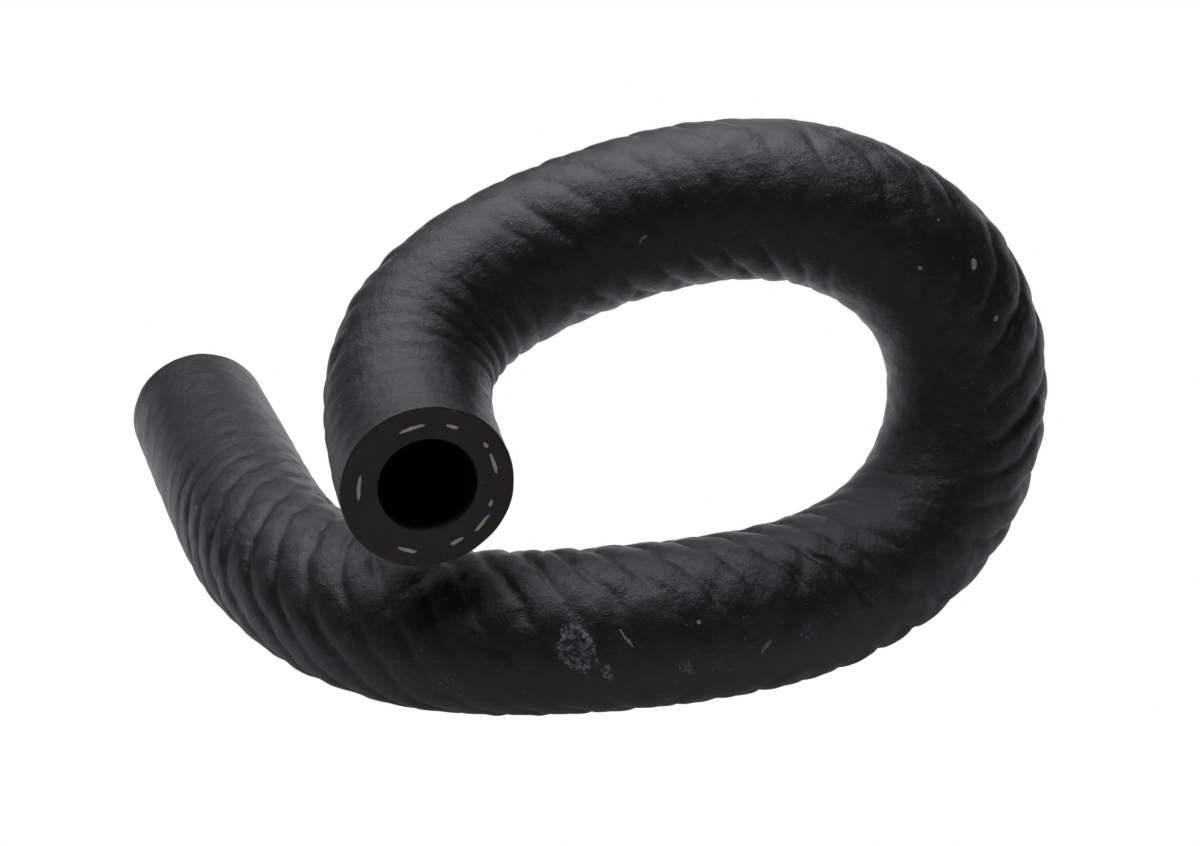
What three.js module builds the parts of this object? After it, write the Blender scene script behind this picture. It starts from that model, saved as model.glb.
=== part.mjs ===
// A short moulded fuel hose: a curved rubber hose with an 8 mm bore, lying as its bent shape lets it rest.
// The wall is built in three bonded layers, as such a hose is made: a fuel-tight inner tube, a thin sleeve
// of spiral yarn that carries the pressure, and a weatherproof outer cover.
// Millimetres, +Z up. The origin is on the floor, under the middle of the hose's box.
// The straight leg with the far end lies along Y, the low run along X, and the near mouth looks towards -Y.

import * as THREE from 'three';
import { NURBSCurve } from 'three/addons/curves/NURBSCurve.js';

// Section sizes
const BORE = 8; // inner diameter, which a spigot goes into
const TUBE_WALL = 1.3; // inner tube
const YARN_WALL = 0.35; // sleeve of spiral yarn
const COVER_WALL = 1.29; // outer cover
const BOND = 0.03; // glue line between two layers

// Fineness of the facets
const SIDES = 20;
const STEPS = 46;

// The hose's centre line, from the far end to the near mouth: x, y and the lift above the height at which
// the hose lies on the floor. The curve runs smoothly by these points, through the first and the last.
// The lifts of the low points are what is left of its own shape once it lies at rest on three places.
const ROUTE = [
  [-30, 35, 0], // far end, on the floor
  [-30, 31, 0],
  [-30, 23, 0],
  [-30, 12.5, 0], // the straight leg ends here
  [-30, 0.5, 0.2],
  [-27, -11.5, 0.2], // first bend, flat on the floor
  [-20.5, -20, -0.1],
  [-10, -25.5, 0.3],
  [1.5, -28.5, 0.4], // the low run
  [14, -27.5, -0.55],
  [25.5, -25.5, 3], // second bend, which lifts the hose off the floor
  [31, -23.5, 13.5],
  [29, -21, 25],
  [20, -16.5, 32], // over the top
  [9.5, -12, 32.5],
  [-2.5, -8.5, 29.5],
  [-14, -9, 25.5], // third bend, forwards and down
  [-20, -14.5, 20.5],
  [-20.5, -22, 17],
  [-21, -27, 17], // near mouth, in the air
];

// Colours and finish from the photograph
const MATERIALS = {
  inner_tube: new THREE.MeshStandardMaterial({ color: 0x2b2b2e, roughness: 0.62, metalness: 0 }),
  yarn_reinforcement: new THREE.MeshStandardMaterial({ color: 0xd8d2c4, roughness: 0.85, metalness: 0 }),
  outer_cover: new THREE.MeshStandardMaterial({ color: 0x1f1e20, roughness: 0.5, metalness: 0 }),
};

// Radii of the layers, worked outwards from the bore
const boreRadius = BORE / 2;
const tubeRadius = boreRadius + TUBE_WALL;
const yarnInnerRadius = tubeRadius + BOND;
const yarnRadius = yarnInnerRadius + YARN_WALL;
const coverInnerRadius = yarnRadius + BOND;
const coverRadius = coverInnerRadius + COVER_WALL;

// A smooth open curve of the third degree, led by the route's points and tied to the first and the last.
function centreLine(points) {
  const degree = 3;
  const spans = points.length - degree;
  const knots = new Array(degree).fill(0);
  for (let i = 0; i <= spans; i += 1) knots.push(i / spans);
  for (let i = 0; i < degree; i += 1) knots.push(1);
  const leads = points.map(([x, y, lift]) => new THREE.Vector4(x, y, coverRadius + lift, 1));
  return new NURBSCurve(degree, knots, leads);
}

// One layer of the wall: a ring section swept along the centre line, with a square cut at both ends.
function layer(name, innerRadius, outerRadius, path) {
  const section = new THREE.Shape();
  section.absarc(0, 0, outerRadius, 0, 2 * Math.PI, false);
  const hole = new THREE.Path();
  hole.absarc(0, 0, innerRadius, 0, 2 * Math.PI, true);
  section.holes.push(hole);
  const geometry = new THREE.ExtrudeGeometry(section, {
    steps: STEPS,
    curveSegments: SIDES / 2, // a circle gets twice as many
    extrudePath: path,
  });
  const mesh = new THREE.Mesh(geometry, MATERIALS[name]);
  mesh.name = name;
  return mesh;
}

function fuelHose() {
  const path = centreLine(ROUTE);
  const hose = new THREE.Group();
  hose.add(layer('inner_tube', boreRadius, tubeRadius, path));
  hose.add(layer('yarn_reinforcement', yarnInnerRadius, yarnRadius, path));
  hose.add(layer('outer_cover', coverInnerRadius, coverRadius, path));
  return hose;
}

export default fuelHose();
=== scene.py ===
# %% [markdown]
# # A moulded fuel hose in Blender
# The object is one short piece of rubber fuel hose, bent into an open loop, lying on a light table. Its wall has
# three layers: a tube that fuel can't pass, strands of yarn that carry the pressure, and a weatherproof cover.
# The layers are made straight first, as the hose was extruded, and then bent along the line that it was
# moulded to. That way every ridge and mark keeps its place on the rubber, as it does on the real hose.

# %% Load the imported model
import math

import bmesh
import bpy
from mathutils import Matrix, Vector, noise


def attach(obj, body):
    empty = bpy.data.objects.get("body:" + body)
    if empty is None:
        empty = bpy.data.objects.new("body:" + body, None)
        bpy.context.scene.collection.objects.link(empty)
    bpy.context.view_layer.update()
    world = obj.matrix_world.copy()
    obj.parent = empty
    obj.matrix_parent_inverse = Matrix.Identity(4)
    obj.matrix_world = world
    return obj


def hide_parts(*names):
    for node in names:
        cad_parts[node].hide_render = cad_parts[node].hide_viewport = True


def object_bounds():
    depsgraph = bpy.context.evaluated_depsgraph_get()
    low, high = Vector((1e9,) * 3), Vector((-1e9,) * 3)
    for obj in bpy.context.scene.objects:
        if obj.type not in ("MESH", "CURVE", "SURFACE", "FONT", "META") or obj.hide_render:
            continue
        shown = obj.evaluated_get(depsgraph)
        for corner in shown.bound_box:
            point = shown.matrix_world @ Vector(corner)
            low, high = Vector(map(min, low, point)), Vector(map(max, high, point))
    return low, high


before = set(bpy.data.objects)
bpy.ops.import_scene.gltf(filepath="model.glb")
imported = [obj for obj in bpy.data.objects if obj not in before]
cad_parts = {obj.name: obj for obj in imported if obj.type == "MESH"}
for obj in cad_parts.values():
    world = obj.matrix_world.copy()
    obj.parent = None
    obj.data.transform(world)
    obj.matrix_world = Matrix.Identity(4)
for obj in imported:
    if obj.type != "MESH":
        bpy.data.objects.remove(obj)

cad_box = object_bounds()
MM = 0.001
print("nodes:", sorted(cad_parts), "box:", [[round(v, 4) for v in corner] for corner in cad_box])

# %% [markdown]
# ## The camera
# The photograph was taken from the front left and above, with a short telephoto lens. The camera could be aimed by
# trial, but the hose's own width gives its distance. Its place, aim, lean and lens were fitted to the hose's
# outline and width in the photograph.

# %% Camera
CAMERA_PLACE = Vector((-56.57, -169.22, 94.70)) * MM
CAMERA_AIM = Vector((-3.35, -18.75, 22.93)) * MM
CAMERA_LEAN = math.radians(2.3)

camera_data = bpy.data.cameras.new("studio camera")
camera_data.lens = 61.125
camera_data.sensor_width = 36.0
camera_data.clip_start = 0.01
camera = bpy.data.objects.new("studio camera", camera_data)
bpy.context.collection.objects.link(camera)
look = (CAMERA_AIM - CAMERA_PLACE).to_track_quat("-Z", "Y").to_matrix()
camera.matrix_world = Matrix.Translation(CAMERA_PLACE) @ (look @ Matrix.Rotation(-CAMERA_LEAN, 3, "Z")).to_4x4()
bpy.context.scene.camera = camera
print("camera", [round(v, 3) for v in camera.matrix_world.col[0]])

# %% [markdown]
# ## The line of the hose
# A hose is a cord with its own bends. Its line is a smooth curve led by a few points, given here as the CAD model
# has them: x, y and the lift above the height at which the hose lies on the floor. Blender's NURBS spline of order 4
# that is tied to its ends is the same curve, so Blender draws the line, and the script only walks along it.
# The points weren't chosen by hand: a least-squares fit to the hose's middle line and width in the photograph
# gave them, rounded to half a millimetre. The low points' lifts were chosen so that the hose comes to rest.

# %% Route
BORE_RADIUS, LINER_RADIUS, COVER_RADIUS = 4.0, 5.5, 7.0
ROUTE = [
    (-30, 35, 0), (-30, 31, 0), (-30, 23, 0), (-30, 12.5, 0), (-30, 0.5, 0.2),
    (-27, -11.5, 0.2), (-20.5, -20, -0.1), (-10, -25.5, 0.3), (1.5, -28.5, 0.4), (14, -27.5, -0.55),
    (25.5, -25.5, 3), (31, -23.5, 13.5), (29, -21, 25), (20, -16.5, 32), (9.5, -12, 32.5),
    (-2.5, -8.5, 29.5), (-14, -9, 25.5), (-20, -14.5, 20.5), (-20.5, -22, 17), (-21, -27, 17),
]


def drawn_line(points, fineness=60):
    """The points of the smooth curve that these points lead, in millimetres."""
    data = bpy.data.curves.new("hose line", "CURVE")
    data.dimensions = "3D"
    spline = data.splines.new("NURBS")
    spline.points.add(len(points) - 1)
    for point, (x, y, lift) in zip(spline.points, points):
        point.co = (x, y, COVER_RADIUS + lift, 1.0)
    spline.order_u = 4
    spline.use_endpoint_u = True
    spline.resolution_u = fineness
    line = bpy.data.objects.new("hose line", data)
    mesh = bpy.data.meshes.new_from_object(line)
    drawn = [vertex.co.copy() for vertex in mesh.vertices]
    bpy.data.objects.remove(line)
    bpy.data.curves.remove(data)
    bpy.data.meshes.remove(mesh)
    return drawn


drawn = drawn_line(ROUTE)
walked = [0.0]
for here, there in zip(drawn, drawn[1:]):
    walked.append(walked[-1] + (there - here).length)
LENGTH = walked[-1]
print(f"{len(drawn)} points, {LENGTH:.1f} mm along the hose")

# %% [markdown]
# ## Walking along the line
# Bending the straight hose needs a small set of axes at each place on the line: forwards, and two directions across
# that don't twist. The axes could come from the curve's own normals, but those flip where a bend changes side, so
# each one is the last one turned by as little as possible.

# %% Places along the line
STEP = 0.25
places = []
leg = 0
for count in range(int(LENGTH / STEP) + 2):
    at = min(count * STEP, LENGTH)
    while leg < len(walked) - 2 and walked[leg + 1] < at:
        leg += 1
    part = (at - walked[leg]) / (walked[leg + 1] - walked[leg])
    places.append(drawn[leg].lerp(drawn[leg + 1], part))

forwards = []
for count in range(len(places)):
    low, high = max(count - 3, 0), min(count + 3, len(places) - 1)
    forwards.append((places[high] - places[low]).normalized())
across = []
side = Vector((0, 0, 1))
for forward in forwards:
    side = (side - forward * side.dot(forward)).normalized()
    across.append((side, forward.cross(side)))
print(len(places), "places, the last at", [round(v, 2) for v in places[-1]])


# %% Bend a point of the straight hose
def bent(point):
    """Where a point of the straight hose (x and y across it, z along it, in mm) lies on the bent one, in metres."""
    count = min(max(int(point.z / STEP), 0), len(places) - 2)
    span = STEP if count < len(places) - 2 else LENGTH - count * STEP
    part = (point.z - count * STEP) / max(span, 1e-6)
    middle = places[count].lerp(places[count + 1], part)
    up = across[count][0].lerp(across[count + 1][0], min(max(part, 0), 1)).normalized()
    left = across[count][1].lerp(across[count + 1][1], min(max(part, 0), 1)).normalized()
    return (middle + up * point.x + left * point.y) * MM


def inner_side(along):
    """How tight the bend is there, as 1 / mm, and the angle round the hose at which its inside lies."""
    count = min(max(int(along / STEP), 8), len(places) - 9)
    turn = (forwards[count + 8] - forwards[count - 8]) / (16 * STEP)
    up, left = across[count]
    return turn.length, math.atan2(turn.dot(left), turn.dot(up))


print("tightest bend, mm:", round(1 / max(inner_side(s)[0] for s in range(2, 194)), 1))

# %% [markdown]
# ## What the yarn does to the cover
# Before the rubber sets, the hose is pushed on a bent mandrel, and the spiral yarn under the cover shows through:
# rounded ridges with narrow valleys run round it in a right-handed screw, eight at a time. The bends squeeze them
# into teeth, and the inside of the last bend folds. A bump in the shader would leave the outline smooth, so the
# ridges are real: a height is worked out for every point of the cover.

# %% Ridge sizes
STRANDS = 8           # yarns side by side
LEAD = 28.0           # mm along the hose for one whole turn of a yarn
RIDGE_DEPTH = [       # mm along the hose from the far end, and mm from crest to valley there
    (0, 0.0), (15, 0.0), (23, 0.08), (33, 0.30), (42, 0.44), (56, 0.42), (75, 0.44), (92, 0.44),
    (104, 0.52), (118, 0.62), (130, 0.46), (145, 0.40), (160, 0.32), (172, 0.28), (184, 0.26), (193.5, 0.0),
]
FOLD_PITCH = 2.6      # mm between the folds inside the last bend
RING_PITCH = 1.85     # mm between the fine rings of the near leg


def smooth(value, low, high):
    """0 below low, 1 above high, and a smooth rise between them."""
    part = min(max((value - low) / (high - low), 0.0), 1.0)
    return part * part * (3 - 2 * part)


def looked_up(table, along):
    """The value of a table of places and sizes at one place, with smooth steps between its lines."""
    for (low, first), (high, second) in zip(table, table[1:]):
        if along <= high:
            return first + (second - first) * smooth(along, low, high)
    return table[-1][1]


def zone(along, start, full, last, end):
    """1 from full to last, 0 before start and after end."""
    return smooth(along, start, full) * (1.0 - smooth(along, last, end))


print("ridge depth at 40 mm:", round(looked_up(RIDGE_DEPTH, 40), 3))


# %% Valleys between the yarns
def ridge_depth(along, angle, facing):
    """How deep the valleys are at one place: facing is 1 inside a bend and -1 outside."""
    depth = looked_up(RIDGE_DEPTH, along)
    degrees = math.degrees(angle) % 360
    # The lower front of the long run was pressed smooth in its mould.
    pressed = math.exp(-((degrees - 98) / 40) ** 2) * zone(along, 52, 62, 88, 98)
    depth *= 1.0 - 0.8 * pressed
    # So was the front of the top run, though less.
    depth *= 1.0 - 0.6 * math.exp(-((degrees - 75) / 40) ** 2) * zone(along, 122, 132, 158, 166)
    # The inside of the high bend is squeezed smooth.
    squeezed = zone(along, 92, 102, 132, 145) * smooth(facing, -0.55, 0.5)
    depth *= 1.0 - 0.85 * squeezed
    # On the near leg the ridges are left on the outside only.
    depth *= 1.0 - 0.92 * zone(along, 162, 172, 400, 401) * smooth(facing, -0.75, 0.1)
    return depth


def valley(turn, sharpness=0.85, lean=0.08):
    """1 in the narrow valley at each whole turn, 0 on the round crest between, which leans to one side."""
    turn += lean * math.sin(math.tau * turn)
    return 1.0 - abs(math.sin(math.pi * turn)) ** sharpness


print("valley:", [round(valley(t / 10), 2) for t in range(11)])


# %% Height of the cover
def cover_height(along, angle):
    """How far the cover stands out or in at one place, in mm."""
    spot = Vector((math.cos(angle), math.sin(angle), along / COVER_RADIUS))
    tightness, inside = inner_side(along)
    facing = math.cos(angle - inside)
    wander = 0.24 * noise.noise(spot * 1.3) + 0.12 * noise.noise(spot * 4.1 + Vector((9, 4, 2)))
    patchy = max(0.78 + 0.6 * noise.noise(spot * 2.3 + Vector((3, 7, 1))), 0.2)
    depth = ridge_depth(along, angle, facing) * patchy
    height = 0.07 - depth * valley(STRANDS * (angle / math.tau - along / LEAD) + wander)

    # The crossing layer of yarn shows faintly and breaks the ridges into lumps.
    crossing = STRANDS * (angle / math.tau + along / LEAD) - wander
    height -= 0.30 * depth * valley(crossing, 1.0, 0.0)

    # The inside of the last bend is too tight for the wall and folds.
    folded = zone(along, 167, 173, 181, 186) * smooth(facing, 0.1, 0.95)
    height -= 0.42 * folded * valley((along - 174.6 + 0.5 * wander) / FOLD_PITCH, 0.55, 0.0)

    # Close rings, pressed in as the near end was pushed on: faint in front, deeper outside.
    ringed = zone(along, 168, 178, 191, 194.5) * (0.35 + 0.65 * smooth(-facing, 0.0, 0.9))
    ring = valley((along + 0.5 * math.sin(angle + 0.7) + 0.5 * wander) / RING_PITCH, 0.9, 0.0)
    height -= 0.15 * ringed * ring

    # Nothing moulded by hand is quite round.
    height += 0.06 * noise.noise(spot * 1.7 + Vector((5, 5, 5))) + 0.060 * noise.noise(spot * 3.6)
    height += 0.022 * noise.noise(spot * 8.0 + Vector((1, 8, 6)))
    return height


print("height at 40 mm:", [round(cover_height(40, math.radians(a)), 3) for a in range(0, 90, 10)])


# %% [markdown]
# ## A wall by spinning
# A layer of the hose is a pipe with a thick wall. It could be a curve with a bevel, but that has no wall thickness and
# no cut ends. Here a few points draw half of its section, the long outer edge is cut into many short ones, and the
# outline is spun once round the middle. A second use of the same few lines makes the liner.

# %% Spin a pipe
def spun_pipe(outline, outer_cuts, inner_cuts, sides):
    """A bmesh of the pipe whose section is this closed outline of (radius, along) points, in mm. Its two longest
    edges, the outer and the inner side of the wall, are cut this many times."""
    bm = bmesh.new()
    points = [bm.verts.new((radius, 0, along)) for radius, along in outline]
    edges = [bm.edges.new((a, b)) for a, b in zip(points, points[1:] + points[:1])]
    long_edges = sorted(edges, key=lambda e: -e.calc_length())[:2]
    outer, inner = sorted(long_edges, key=lambda e: -e.verts[0].co.x)
    bmesh.ops.subdivide_edges(bm, edges=[outer], cuts=outer_cuts)
    bmesh.ops.subdivide_edges(bm, edges=[inner], cuts=inner_cuts)
    bmesh.ops.spin(bm, geom=bm.verts[:] + bm.edges[:], cent=(0, 0, 0), axis=(0, 0, 1), dvec=(0, 0, 0),
                   angle=math.tau, steps=sides, use_merge=True)
    bmesh.ops.remove_doubles(bm, verts=bm.verts[:], dist=0.0005)
    bmesh.ops.recalc_face_normals(bm, faces=bm.faces[:])
    return bm


def finished_piece(bm, name, shape):
    """Bend the straight piece, keep where each point was on the straight hose, and make it an object."""
    straight = [vert.co.copy() for vert in bm.verts]
    for vert, point in zip(bm.verts, straight):
        vert.co = bent(shape(point))
    mesh = bpy.data.meshes.new(name)
    bm.to_mesh(mesh)
    bm.free()
    laid = mesh.attributes.new("straight", "FLOAT_VECTOR", "POINT")
    laid.data.foreach_set("vector", [v for point in straight for v in point])
    mesh.polygons.foreach_set("use_smooth", [True] * len(mesh.polygons))
    piece = bpy.data.objects.new(name, mesh)
    bpy.context.collection.objects.link(piece)
    print(name, len(mesh.vertices), "points", len(mesh.polygons), "faces")
    return piece


# %% [markdown]
# ## The cover
# The outer layer, with both ends cut square by a blade that leaves the edge barely rounded. The wall between the
# section's two long edges is spun as one closed body, then each point of the outside moves in or out by the
# height worked out above.

# %% Cover
EDGE = 0.14           # mm, how far the blade's edge is rounded
CORNER = 0.04         # mm, the middle point of that rounding
cover_outline = [
    (COVER_RADIUS, EDGE), (COVER_RADIUS, LENGTH - EDGE), (COVER_RADIUS - CORNER, LENGTH - CORNER),
    (COVER_RADIUS - EDGE, LENGTH), (6.3, LENGTH), (LINER_RADIUS, LENGTH), (LINER_RADIUS, 0), (6.3, 0),
    (COVER_RADIUS - EDGE, 0), (COVER_RADIUS - CORNER, CORNER),
]
cover_bm = spun_pipe(cover_outline, outer_cuts=719, inner_cuts=90, sides=104)


def cover_shape(point):
    """The straight cover's point with the yarn's ridges, the folds and the rings."""
    radius = math.hypot(point.x, point.y)
    if radius < 6.5:
        return point
    angle = math.atan2(point.y, point.x)
    scale = (radius + cover_height(point.z, angle)) / radius
    return Vector((point.x * scale, point.y * scale, point.z))


hose_cover = finished_piece(cover_bm, "hose_cover", cover_shape)

# %% [markdown]
# ## The liner
# The inner tube of smooth rubber. Its bore sits a little off the middle, as an extruder leaves it. It ends flush
# with the cover, and only its cut face and its bore are ever seen.

# %% Liner
BORE_SHIFT = Vector((0.03, 0.24, 0))     # mm, towards the top of the near face
liner_outline = [
    (LINER_RADIUS, 0), (LINER_RADIUS, LENGTH), (BORE_RADIUS + 0.1, LENGTH), (BORE_RADIUS, LENGTH - 0.1),
    (BORE_RADIUS, 0.1), (BORE_RADIUS + 0.1, 0),
]
liner_bm = spun_pipe(liner_outline, outer_cuts=90, inner_cuts=240, sides=72)


def liner_shape(point):
    """The straight liner's point with the bore moved off the middle."""
    return point + BORE_SHIFT if math.hypot(point.x, point.y) < 4.5 else point


hose_liner = finished_piece(liner_bm, "hose_liner", liner_shape)

# %% [markdown]
# ## The yarn
# Strands of cream yarn lie spirally between the two rubbers. Only their cut ends show, as short dashes in a broken
# ring. Flat dashes on the end face would do for one picture, but real strands run the whole way, so each is a flat
# band that follows its screw from one end to the other and stands a hair proud where the blade cut it.

# %% Strands
PROUD = 0.04
DASHES = [            # where a strand is cut on the near face: angle from, angle to, radius of its middle in mm
    (5, 24, 5.62), (30, 35, 5.75), (61, 71, 5.58), (89, 111, 5.50), (160, 182, 5.55),
    (241, 257, 5.66), (286, 298, 5.52), (309, 327, 5.70), (334, 340, 5.45),
]


def strand_section(start, end, radius):
    """The section of one strand as (radius, angle) points round it: thin, uneven, with rounded ends."""
    middle, half = (start + end) / 2, (end - start) / 2
    section = []
    for part in range(16):
        turn = math.tau * part / 16
        bulge = math.copysign(abs(math.cos(turn)) ** 0.7, math.cos(turn))
        wave = 0.07 * noise.noise(Vector((bulge * 1.6, radius * 7.0, start)))
        thick = 0.145 + 0.05 * noise.noise(Vector((bulge * 2.5, start, 3.0)))
        section.append((radius + wave + thick * math.sin(turn), math.radians(middle + half * bulge)))
    return section


strands_bm = bmesh.new()
for start, end, radius in DASHES:
    ring = [strands_bm.verts.new((r * math.cos(a), r * math.sin(a), LENGTH + PROUD))
            for r, a in strand_section(start, end, radius)]
    drawn_out = bmesh.ops.extrude_face_region(strands_bm, geom=[strands_bm.faces.new(ring)], use_keep_orig=True)
    bmesh.ops.translate(strands_bm, verts=[g for g in drawn_out["geom"] if isinstance(g, bmesh.types.BMVert)],
                        vec=(0, 0, -LENGTH - 2 * PROUD))
long_edges = [e for e in strands_bm.edges if e.calc_length() > LENGTH]
bmesh.ops.subdivide_edges(strands_bm, edges=long_edges, cuts=199)
bmesh.ops.recalc_face_normals(strands_bm, faces=strands_bm.faces[:])


def strand_shape(point):
    """The straight strand's point, turned about the hose to follow the screw of the yarn."""
    return Matrix.Rotation(math.tau * (point.z - LENGTH) / LEAD, 3, "Z") @ point


yarn_strands = finished_piece(strands_bm, "yarn_strands", strand_shape)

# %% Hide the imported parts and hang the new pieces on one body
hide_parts("outer_cover")
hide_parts("inner_tube")
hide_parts("yarn_reinforcement")
for piece, slot in ((hose_cover, "cover_rubber"), (hose_liner, "inner_rubber"), (yarn_strands, "yarn")):
    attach(piece, "root")
print("cord of", round(LENGTH, 1), "mm declared")


# %% [markdown]
# ## Helpers for materials
# Every material reads the place on the straight hose, kept as an attribute on each piece, so grain and marks follow
# the rubber round its bends. Effects that more than one material uses are node groups.

# %% Small node helpers
def new_group(name, inputs, outputs):
    """A shader node group with these sockets, and its nodes, links, input and output nodes."""
    group = bpy.data.node_groups.new(name, "ShaderNodeTree")
    for label, kind, value in inputs:
        socket = group.interface.new_socket(label, in_out="INPUT", socket_type=kind)
        if value is not None:
            socket.default_value = value
    for label, kind in outputs:
        group.interface.new_socket(label, in_out="OUTPUT", socket_type=kind)
    return group, group.nodes.new("NodeGroupInput"), group.nodes.new("NodeGroupOutput")


def placed(tree, group, links, values=()):
    """One use of a group in a material, with its inputs joined and set."""
    node = tree.nodes.new("ShaderNodeGroup")
    node.node_tree = group
    for label, source in dict(links).items():
        tree.links.new(source, node.inputs[label])
    for label, value in dict(values).items():
        node.inputs[label].default_value = value
    return node


def worked(tree, operation, *values, clamp=False):
    """A Math node: its operation on these values, each a number or a socket."""
    node = tree.nodes.new("ShaderNodeMath")
    node.operation = operation
    node.use_clamp = clamp
    for socket, value in zip(node.inputs, values):
        if isinstance(value, (int, float)):
            socket.default_value = value
        else:
            tree.links.new(value, socket)
    return node.outputs[0]


def ranged(tree, value, low, high, to_low=0.0, to_high=1.0):
    """A Map Range node, smooth and held at its ends."""
    node = tree.nodes.new("ShaderNodeMapRange")
    node.interpolation_type = "SMOOTHSTEP"
    tree.links.new(value, node.inputs["Value"])
    for label, number in (("From Min", low), ("From Max", high), ("To Min", to_low), ("To Max", to_high)):
        node.inputs[label].default_value = number
    return node.outputs["Result"]


def mixed(tree, factor, first, second):
    """A Mix node for colours: first where factor is 0, second where it is 1."""
    node = tree.nodes.new("ShaderNodeMix")
    node.data_type = "RGBA"
    colour_a = [s for s in node.inputs if s.name == "A" and s.type == "RGBA"][0]
    colour_b = [s for s in node.inputs if s.name == "B" and s.type == "RGBA"][0]
    for socket, value in ((node.inputs[0], factor), (colour_a, first), (colour_b, second)):
        if isinstance(value, (int, float)):
            socket.default_value = value
        elif isinstance(value, tuple):
            socket.default_value = (*value, 1.0) if len(value) == 3 else value
        else:
            tree.links.new(value, socket)
    return [s for s in node.outputs if s.type == "RGBA"][0]


def cloud(tree, place, scale, detail=3.0, rough=0.55):
    """A Noise node's grey value at this place."""
    node = tree.nodes.new("ShaderNodeTexNoise")
    node.inputs["Scale"].default_value = scale
    node.inputs["Detail"].default_value = detail
    node.inputs["Roughness"].default_value = rough
    tree.links.new(place, node.inputs["Vector"])
    return node.outputs["Fac"]


print("node helpers ready")

# %% Group: dust specks
dust, dust_in, dust_out = new_group(
    "Dust specks",
    [("Place", "NodeSocketVector", None), ("Grains per mm", "NodeSocketFloat", 1.0),
     ("Share", "NodeSocketFloat", 0.1), ("Size", "NodeSocketFloat", 0.2)],
    [("Specks", "NodeSocketFloat")],
)
cells = dust.nodes.new("ShaderNodeTexVoronoi")
dust.links.new(dust_in.outputs["Place"], cells.inputs["Vector"])
dust.links.new(dust_in.outputs["Grains per mm"], cells.inputs["Scale"])
pick = dust.nodes.new("ShaderNodeSeparateColor")
dust.links.new(cells.outputs["Color"], pick.inputs[0])
chosen = worked(dust, "LESS_THAN", pick.outputs[0], dust_in.outputs["Share"])
radius = worked(dust, "MULTIPLY", dust_in.outputs["Size"], worked(dust, "ADD", pick.outputs[1], 0.35))
near = worked(dust, "LESS_THAN", cells.outputs["Distance"], radius)
bright = worked(dust, "ADD", worked(dust, "MULTIPLY", pick.outputs[2], 0.7), 0.3)
dust.links.new(worked(dust, "MULTIPLY", worked(dust, "MULTIPLY", chosen, near), bright), dust_out.inputs["Specks"])
print("group", dust.name)

# %% Group: scuff
scuff, scuff_in, scuff_out = new_group(
    "Scuff",
    [("Place", "NodeSocketVector", None), ("Middle", "NodeSocketVector", (0, 0, 0)),
     ("Turn", "NodeSocketVector", (0, 0, 0)), ("Half size", "NodeSocketVector", (1, 1, 1)),
     ("Wander", "NodeSocketFloat", 0.5), ("Grain", "NodeSocketFloat", 3.0), ("Cover", "NodeSocketFloat", 0.5),
     ("Hollow", "NodeSocketFloat", 0.0)],
    [("Mark", "NodeSocketFloat")],
)
drift = scuff.nodes.new("ShaderNodeTexNoise")
drift.inputs["Scale"].default_value = 0.9
drift.inputs["Detail"].default_value = 2.0
scuff.links.new(scuff_in.outputs["Place"], drift.inputs["Vector"])
evened = scuff.nodes.new("ShaderNodeVectorMath")
evened.operation = "SUBTRACT"
evened.inputs[1].default_value = (0.5, 0.5, 0.5)
scuff.links.new(drift.outputs["Color"], evened.inputs[0])
shifted = scuff.nodes.new("ShaderNodeVectorMath")
shifted.operation = "MULTIPLY_ADD"
scuff.links.new(evened.outputs[0], shifted.inputs[0])
scuff.links.new(scuff_in.outputs["Wander"], shifted.inputs[1])
scuff.links.new(scuff_in.outputs["Place"], shifted.inputs[2])
centred = scuff.nodes.new("ShaderNodeMapping")
centred.vector_type = "TEXTURE"
scuff.links.new(shifted.outputs[0], centred.inputs["Vector"])
for label, target in (("Middle", "Location"), ("Turn", "Rotation"), ("Half size", "Scale")):
    scuff.links.new(scuff_in.outputs[label], centred.inputs[target])
reach = scuff.nodes.new("ShaderNodeVectorMath")
reach.operation = "LENGTH"
scuff.links.new(centred.outputs[0], reach.inputs[0])
inside = ranged(scuff, reach.outputs["Value"], 1.0, 0.75)
hole = worked(scuff, "MULTIPLY", ranged(scuff, reach.outputs["Value"], 0.68, 0.48), scuff_in.outputs["Hollow"])
grain = scuff.nodes.new("ShaderNodeTexNoise")
grain.inputs["Detail"].default_value = 4.0
grain.inputs["Roughness"].default_value = 0.7
scuff.links.new(scuff_in.outputs["Place"], grain.inputs["Vector"])
scuff.links.new(scuff_in.outputs["Grain"], grain.inputs["Scale"])
lowest = worked(scuff, "SUBTRACT", 0.74, worked(scuff, "MULTIPLY", scuff_in.outputs["Cover"], 0.5))
broken = worked(scuff, "MULTIPLY", worked(scuff, "SUBTRACT", grain.outputs["Fac"], lowest), 7.0, clamp=True)
mark = worked(scuff, "MULTIPLY", worked(scuff, "MULTIPLY", inside, broken), worked(scuff, "SUBTRACT", 1.0, hole))
scuff.links.new(mark, scuff_out.inputs["Mark"])
print("group", scuff.name)

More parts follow.
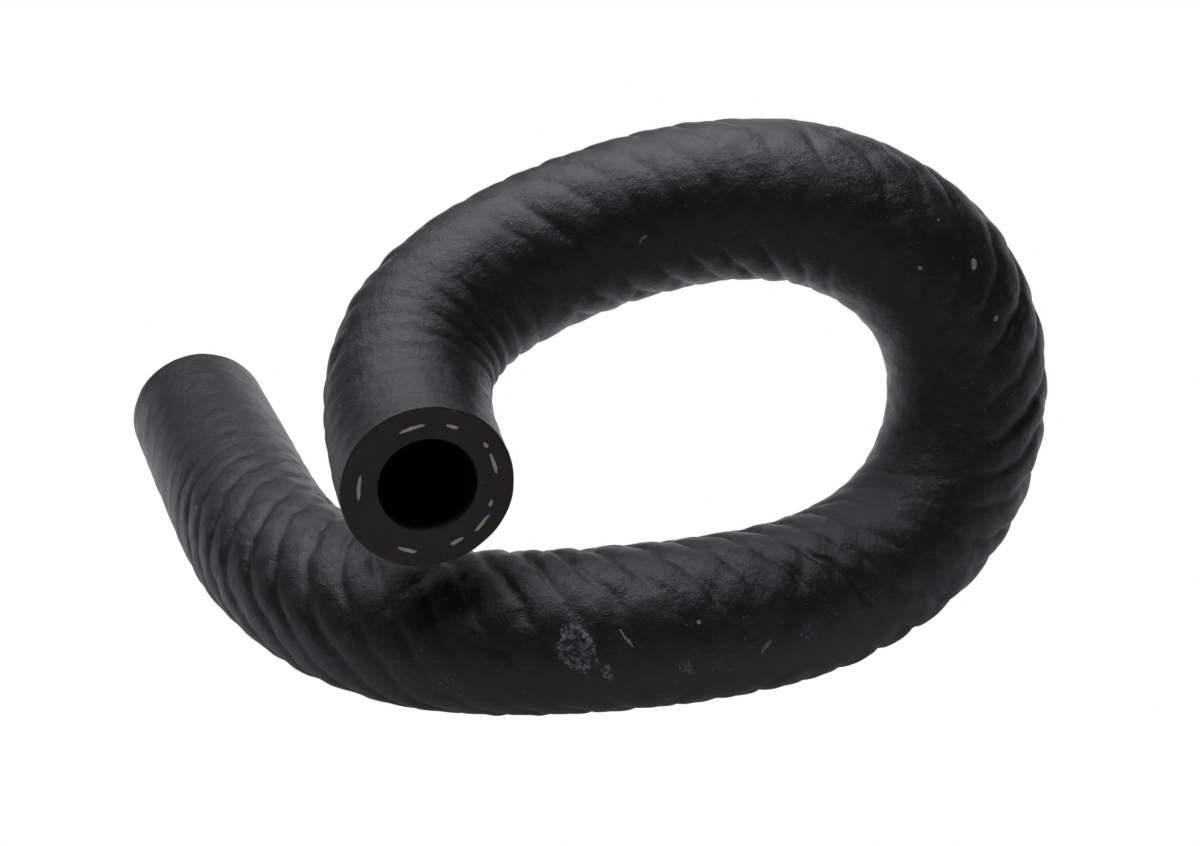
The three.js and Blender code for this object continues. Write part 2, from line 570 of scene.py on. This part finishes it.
# %% Group: rubber grain
grainy, grainy_in, grainy_out = new_group(
    "Rubber grain",
    [("Place", "NodeSocketVector", None), ("Scale", "NodeSocketFloat", 1.0)],
    [("Height", "NodeSocketFloat"), ("Blotch", "NodeSocketFloat")],
)
sized = grainy.nodes.new("ShaderNodeVectorMath")
sized.operation = "SCALE"
grainy.links.new(grainy_in.outputs["Place"], sized.inputs[0])
grainy.links.new(grainy_in.outputs["Scale"], sized.inputs["Scale"])
fine = cloud(grainy, sized.outputs[0], 9.0, 4.0, 0.6)
coarse = cloud(grainy, sized.outputs[0], 1.6, 3.0, 0.55)
grainy.links.new(worked(grainy, "ADD", worked(grainy, "MULTIPLY", fine, 0.6), coarse), grainy_out.inputs["Height"])
grainy.links.new(cloud(grainy, sized.outputs[0], 0.35, 3.0, 0.6), grainy_out.inputs["Blotch"])
print("group", grainy.name)


# %% Start a material
def started(name):
    """A new material with its Principled shader and the place on the straight hose."""
    material = bpy.data.materials.new(name)
    material.use_nodes = True
    tree = material.node_tree
    shader = next(n for n in tree.nodes if n.type == "BSDF_PRINCIPLED")
    place = tree.nodes.new("ShaderNodeAttribute")
    place.attribute_name = "straight"
    return material, tree, shader, place.outputs["Vector"]


def raised(tree, shader, height, distance):
    """Let this height, in mm, raise the surface in the light."""
    bump = tree.nodes.new("ShaderNodeBump")
    bump.inputs["Distance"].default_value = distance * MM
    bump.inputs["Strength"].default_value = 1.0
    tree.links.new(height, bump.inputs["Height"])
    tree.links.new(bump.outputs["Normal"], shader.inputs["Normal"])


print("material helpers ready")

# %% [markdown]
# ## The cover's rubber
# Black rubber with a soft sheen, which mould dust makes greyer and duller in places. It carries fine white specks, a
# chalky scuff on the lower run and a few scratches. The scuffs are placed by where they are on the straight hose.

# %% Cover rubber
SKIN_DARK, SKIN_LIGHT, SKIN_DUSTY = (0.0075, 0.0073, 0.0078), (0.0120, 0.0118, 0.0130), (0.026, 0.026, 0.027)
SKIN_ROUGH = 0.30


def on_cover(along, degrees):
    """The point on the straight cover at this place and angle, in mm."""
    angle = math.radians(degrees)
    return Vector((COVER_RADIUS * math.cos(angle), COVER_RADIUS * math.sin(angle), along))


rubber, tree, shader, place = started("Cover rubber")
grain_node = placed(tree, grainy, {"Place": place}, {"Scale": 1.0})
blotch = ranged(tree, grain_node.outputs["Blotch"], 0.38, 0.68)
fine_dust = placed(tree, dust, {"Place": place}, {"Grains per mm": 2.2, "Share": 0.18, "Size": 0.17})
big_dust = placed(tree, dust, {"Place": place}, {"Grains per mm": 0.5, "Share": 0.14, "Size": 0.065})
lint_place = tree.nodes.new("ShaderNodeMapping")
lint_place.inputs["Rotation"].default_value = (0.5, 0.4, 0.8)
lint_place.inputs["Scale"].default_value = (1.0, 0.22, 1.0)
tree.links.new(place, lint_place.inputs["Vector"])
lint = placed(tree, dust, {"Place": lint_place.outputs[0]}, {"Grains per mm": 0.9, "Share": 0.10, "Size": 0.06})
specks = worked(tree, "MAXIMUM", worked(tree, "MULTIPLY", fine_dust.outputs[0], 0.30), worked(
    tree, "MULTIPLY", big_dust.outputs[0], 0.8))
specks = worked(tree, "MAXIMUM", specks, worked(tree, "MULTIPLY", lint.outputs[0], 0.35))
print("specks ready")

# %% Scuffs on the cover
# The places were picked by eye on the photograph and worked out on the hose with a separate script.
SCUFFS = [            # along, degrees, turn, half sizes across and along, wander, grain, cover, hollow, strength
    (70.2, 72, 0.15, (2.2, 1.45), 2.6, 2.6, 0.56, 0.5, 0.60),
    (72.2, 90, 0.3, (0.9, 0.5), 1.6, 3.6, 0.62, 0.0, 0.45),
    (73.7, 67.5, 0.7, (1.0, 0.13), 0.9, 4.0, 1.0, 0.0, 0.50),
    (77.9, 92, 0.3, (0.8, 0.5), 1.4, 4.0, 0.60, 0.3, 0.45),
    (80.5, 96, 1.2, (1.2, 0.7), 1.6, 3.0, 0.40, 0.0, 0.30),
    (83.9, 87, -0.5, (0.9, 0.16), 1.2, 4.0, 0.9, 0.0, 0.40),
    (87.5, 84, 0.4, (1.2, 0.8), 1.6, 3.5, 0.42, 0.0, 0.30),
    (79.0, 62, 0.0, (0.20, 0.20), 0.2, 5.0, 1.0, 0.0, 0.70),
    (130.9, 53.5, 0.2, (0.18, 0.24), 0.3, 5.0, 1.0, 0.0, 0.80),
    (128.0, 83.5, 0.4, (0.50, 0.24), 0.9, 4.0, 0.9, 0.2, 0.55),
    (123.9, 77, 0.2, (0.35, 0.20), 0.8, 4.0, 0.9, 0.0, 0.45),
    (156.0, 46, 0.2, (0.15, 0.5), 0.9, 4.0, 0.9, 0.0, 0.40),
    (60.5, 100, 0.2, (1.6, 1.0), 1.8, 3.0, 0.36, 0.0, 0.28),
]
marks = None
for along, degrees, turn, (wide, long), wander, fineness, cover, hollow, strength in SCUFFS:
    node = placed(tree, scuff, {"Place": place}, {
        "Middle": on_cover(along, degrees), "Turn": (turn, 0, math.radians(degrees)),
        "Half size": (1.5, wide, long), "Wander": wander, "Grain": fineness, "Cover": cover, "Hollow": hollow})
    faint = worked(tree, "MULTIPLY", node.outputs[0], strength * 1.6)
    marks = faint if marks is None else worked(tree, "MAXIMUM", marks, faint)
chalk = worked(tree, "MAXIMUM", specks, marks)
print(len(SCUFFS), "scuffs")

# %% Colour and gloss of the cover
haze = worked(tree, "MULTIPLY", ranged(tree, cloud(tree, place, 0.42, 4.0, 0.62), 0.50, 0.72), 0.45)
skin = mixed(tree, blotch, SKIN_DARK, SKIN_LIGHT)
skin = mixed(tree, haze, skin, SKIN_DUSTY)
tree.links.new(mixed(tree, chalk, skin, (0.30, 0.31, 0.33)), shader.inputs["Base Color"])
sheen_rough = worked(tree, "ADD", worked(tree, "MULTIPLY", blotch, 0.08), SKIN_ROUGH)
sheen_rough = worked(tree, "ADD", sheen_rough, worked(tree, "MULTIPLY", haze, 0.20))
tree.links.new(worked(tree, "ADD", sheen_rough, worked(tree, "MULTIPLY", chalk, 0.35)), shader.inputs["Roughness"])
raised(tree, shader, worked(tree, "ADD", grain_node.outputs["Height"], worked(tree, "MULTIPLY", chalk, 0.3)), 0.10)
print(rubber.name, len(tree.nodes), "nodes")


# %% [markdown]
# ## The cut faces
# A blade leaves rubber matt, with fine lines across it. The cover's cut is a brownish black, the liner's is greyer.

# %% Cut rubber
def cut_rubber(name, dark, light):
    """Matt rubber as a blade leaves it, between these two colours."""
    material, tree, shader, place = started(name)
    stretch = tree.nodes.new("ShaderNodeMapping")
    stretch.inputs["Rotation"].default_value = (0, 0, 0.5)
    stretch.inputs["Scale"].default_value = (7.0, 0.6, 1.0)
    tree.links.new(place, stretch.inputs["Vector"])
    lines = cloud(tree, stretch.outputs[0], 1.2, 4.0, 0.65)
    grain_node = placed(tree, grainy, {"Place": place}, {"Scale": 1.6})
    shade = ranged(tree, worked(tree, "ADD", worked(tree, "MULTIPLY", lines, 0.6), worked(
        tree, "MULTIPLY", grain_node.outputs["Blotch"], 0.4)), 0.35, 0.65)
    specks = placed(tree, dust, {"Place": place}, {"Grains per mm": 3.0, "Share": 0.10, "Size": 0.18})
    tree.links.new(mixed(tree, worked(tree, "MULTIPLY", specks.outputs[0], 0.35),
                         mixed(tree, shade, dark, light), (0.30, 0.28, 0.25)), shader.inputs["Base Color"])
    tree.links.new(ranged(tree, lines, 0.3, 0.7, 0.62, 0.8), shader.inputs["Roughness"])
    raised(tree, shader, worked(tree, "ADD", lines, grain_node.outputs["Height"]), 0.04)
    return material


cover_cut = cut_rubber("Cut cover rubber", (0.0320, 0.0255, 0.0220), (0.0480, 0.0385, 0.0340))
liner_cut = cut_rubber("Cut liner rubber", (0.0360, 0.0340, 0.0330), (0.0520, 0.0495, 0.0480))
liner_cut.node_tree.nodes["Principled BSDF"].inputs["Specular IOR Level"].default_value = 0.4
print(cover_cut.name, liner_cut.name)

# %% Bore rubber
bore_rubber, tree, shader, place = started("Bore rubber")
grain_node = placed(tree, grainy, {"Place": place}, {"Scale": 0.8})
tree.links.new(mixed(tree, grain_node.outputs["Blotch"], (0.004, 0.004, 0.0045), (0.008, 0.008, 0.009)),
               shader.inputs["Base Color"])
tree.links.new(ranged(tree, grain_node.outputs["Height"], 0.4, 1.2, 0.45, 0.6), shader.inputs["Roughness"])
raised(tree, shader, grain_node.outputs["Height"], 0.03)
print(bore_rubber.name)

# %% [markdown]
# ## The yarn's finish
# Undyed yarn is a bundle of fine fibres. On the strand they run along it, and at the cut they show as a bright,
# slightly frayed end, so fine lines along the screw and a little sheen are enough.

# %% Yarn
yarn, tree, shader, place = started("Undyed yarn")
fibres = tree.nodes.new("ShaderNodeMapping")
fibres.inputs["Scale"].default_value = (9.0, 9.0, 1.0)
tree.links.new(place, fibres.inputs["Vector"])
fibre = cloud(tree, fibres.outputs[0], 1.0, 3.0, 0.6)
tree.links.new(mixed(tree, ranged(tree, fibre, 0.3, 0.7), (0.50, 0.45, 0.35), (0.85, 0.80, 0.68)),
               shader.inputs["Base Color"])
tree.links.new(ranged(tree, fibre, 0.3, 0.7, 0.75, 0.95), shader.inputs["Roughness"])
shader.inputs["Sheen Weight"].default_value = 0.3
raised(tree, shader, fibre, 0.06)
print(yarn.name)


# %% Dress the pieces
def dressed(piece, skin_material, cut_material):
    """Give the piece its skin, and the cut material to the flat faces at both ends."""
    piece.data.materials.append(skin_material)
    piece.data.materials.append(cut_material)
    laid = piece.data.attributes["straight"].data
    cuts = 0
    for polygon in piece.data.polygons:
        along = [laid[v].vector.z for v in polygon.vertices]
        if max(along) < 0.02 or min(along) > LENGTH - 0.02:
            polygon.material_index = 1
            polygon.use_smooth = False
            cuts += 1
    print(piece.name, cuts, "cut faces")


dressed(hose_cover, rubber, cover_cut)
dressed(hose_liner, bore_rubber, liner_cut)
yarn_strands.data.materials.append(yarn)

# %% [markdown]
# ## Table and light
# The photograph is a plain one for a catalogue. One large soft box hangs above and a little behind the hose, a
# narrow one shines from behind, and a white card stands low behind on the right. Nothing bright is behind the camera, so the side
# towards it stays dark. The table is white paper, overexposed until no shadow is left on it: the camera sees it
# evenly white. What the hose sees of it is a glow that was tuned until the hose's light and dark came near those
# of the photograph: little in front and on the left, more behind.

# %% Table
GLOW_FRONT, GLOW_BACK = 0.11, 0.60      # how brightly the table shines at the hose, in front and behind
GLOW_LEFT = 0.25                        # the share of that which is left on the left side

floor_bm = bmesh.new()
bmesh.ops.create_grid(floor_bm, x_segments=1, y_segments=1, size=1.6)
floor_mesh = bpy.data.meshes.new("white table")
floor_bm.to_mesh(floor_mesh)
floor_bm.free()
floor_mesh.transform(Matrix.Translation((0, 0, cad_box[0][2])))
floor = bpy.data.objects.new("white table", floor_mesh)
bpy.context.collection.objects.link(floor)

paper = bpy.data.materials.new("Overexposed paper")
paper.use_nodes = True
paper_tree = paper.node_tree
paper_shader = paper_tree.nodes["Principled BSDF"]
paper_shader.inputs["Base Color"].default_value = (0.35, 0.35, 0.355, 1)
paper_shader.inputs["Roughness"].default_value = 0.9
paper_shader.inputs["Specular IOR Level"].default_value = 0.1
glow_place = paper_tree.nodes.new("ShaderNodeTexCoord")
glow_split = paper_tree.nodes.new("ShaderNodeSeparateXYZ")
paper_tree.links.new(glow_place.outputs["Object"], glow_split.inputs[0])
glow = ranged(paper_tree, glow_split.outputs["Y"], -0.05, 0.04, GLOW_FRONT, GLOW_BACK)
left_side = ranged(paper_tree, glow_split.outputs["X"], -0.09, 0.0, GLOW_LEFT, 1.0)
paper_tree.links.new(worked(paper_tree, "MULTIPLY", glow, left_side), paper_shader.inputs["Emission Strength"])
paper_shader.inputs["Emission Color"].default_value = (0.95, 0.98, 1.0, 1)
white = paper_tree.nodes.new("ShaderNodeEmission")
white.inputs["Strength"].default_value = 1.0
seen = paper_tree.nodes.new("ShaderNodeLightPath")
either = paper_tree.nodes.new("ShaderNodeMixShader")
paper_tree.links.new(seen.outputs["Is Camera Ray"], either.inputs[0])
paper_tree.links.new(paper_shader.outputs[0], either.inputs[1])
paper_tree.links.new(white.outputs[0], either.inputs[2])
paper_tree.links.new(either.outputs[0], paper_tree.nodes["Material Output"].inputs["Surface"])
floor_mesh.materials.append(paper)
print("table at", round(cad_box[0][2] / MM, 2), "mm")


# %% Lights
def soft_light(name, azimuth, elevation, distance, size, brightness):
    """A rectangular light aimed at the hose. The azimuth is from +Y towards +X, the distance and size are in metres,
    and the brightness is that of the lit surface itself, so a larger light gives more light."""
    data = bpy.data.lights.new(name, "AREA")
    data.shape = "RECTANGLE"
    data.size, data.size_y = size
    data.energy = brightness * math.pi * size[0] * size[1]
    data.color = (0.94, 0.955, 1.0)
    light = bpy.data.objects.new(name, data)
    bpy.context.collection.objects.link(light)
    turn, rise = math.radians(azimuth), math.radians(elevation)
    aim = Vector((0, -0.01, 0.02))
    away = Vector((math.cos(rise) * math.sin(turn), math.cos(rise) * math.cos(turn), math.sin(rise)))
    light.location = aim + away * distance
    light.rotation_euler = away.to_track_quat("Z", "Y").to_euler()
    return light


soft_light("overhead soft box", 0, 78, 0.60, (0.58, 0.50), 4.3)
soft_light("rear soft box", 0, 38, 0.60, (0.80, 0.22), 1.4)
soft_light("low white card", 40, 8, 0.70, (0.50, 0.16), 1.0)
world = bpy.data.worlds.new("dim room")
bpy.context.scene.world = world
world.use_nodes = True
background = world.node_tree.nodes["Background"]
background.inputs["Color"].default_value = (0.95, 0.97, 1.0, 1)
background.inputs["Strength"].default_value = 0.06
bpy.context.scene.view_settings.view_transform = "Standard"
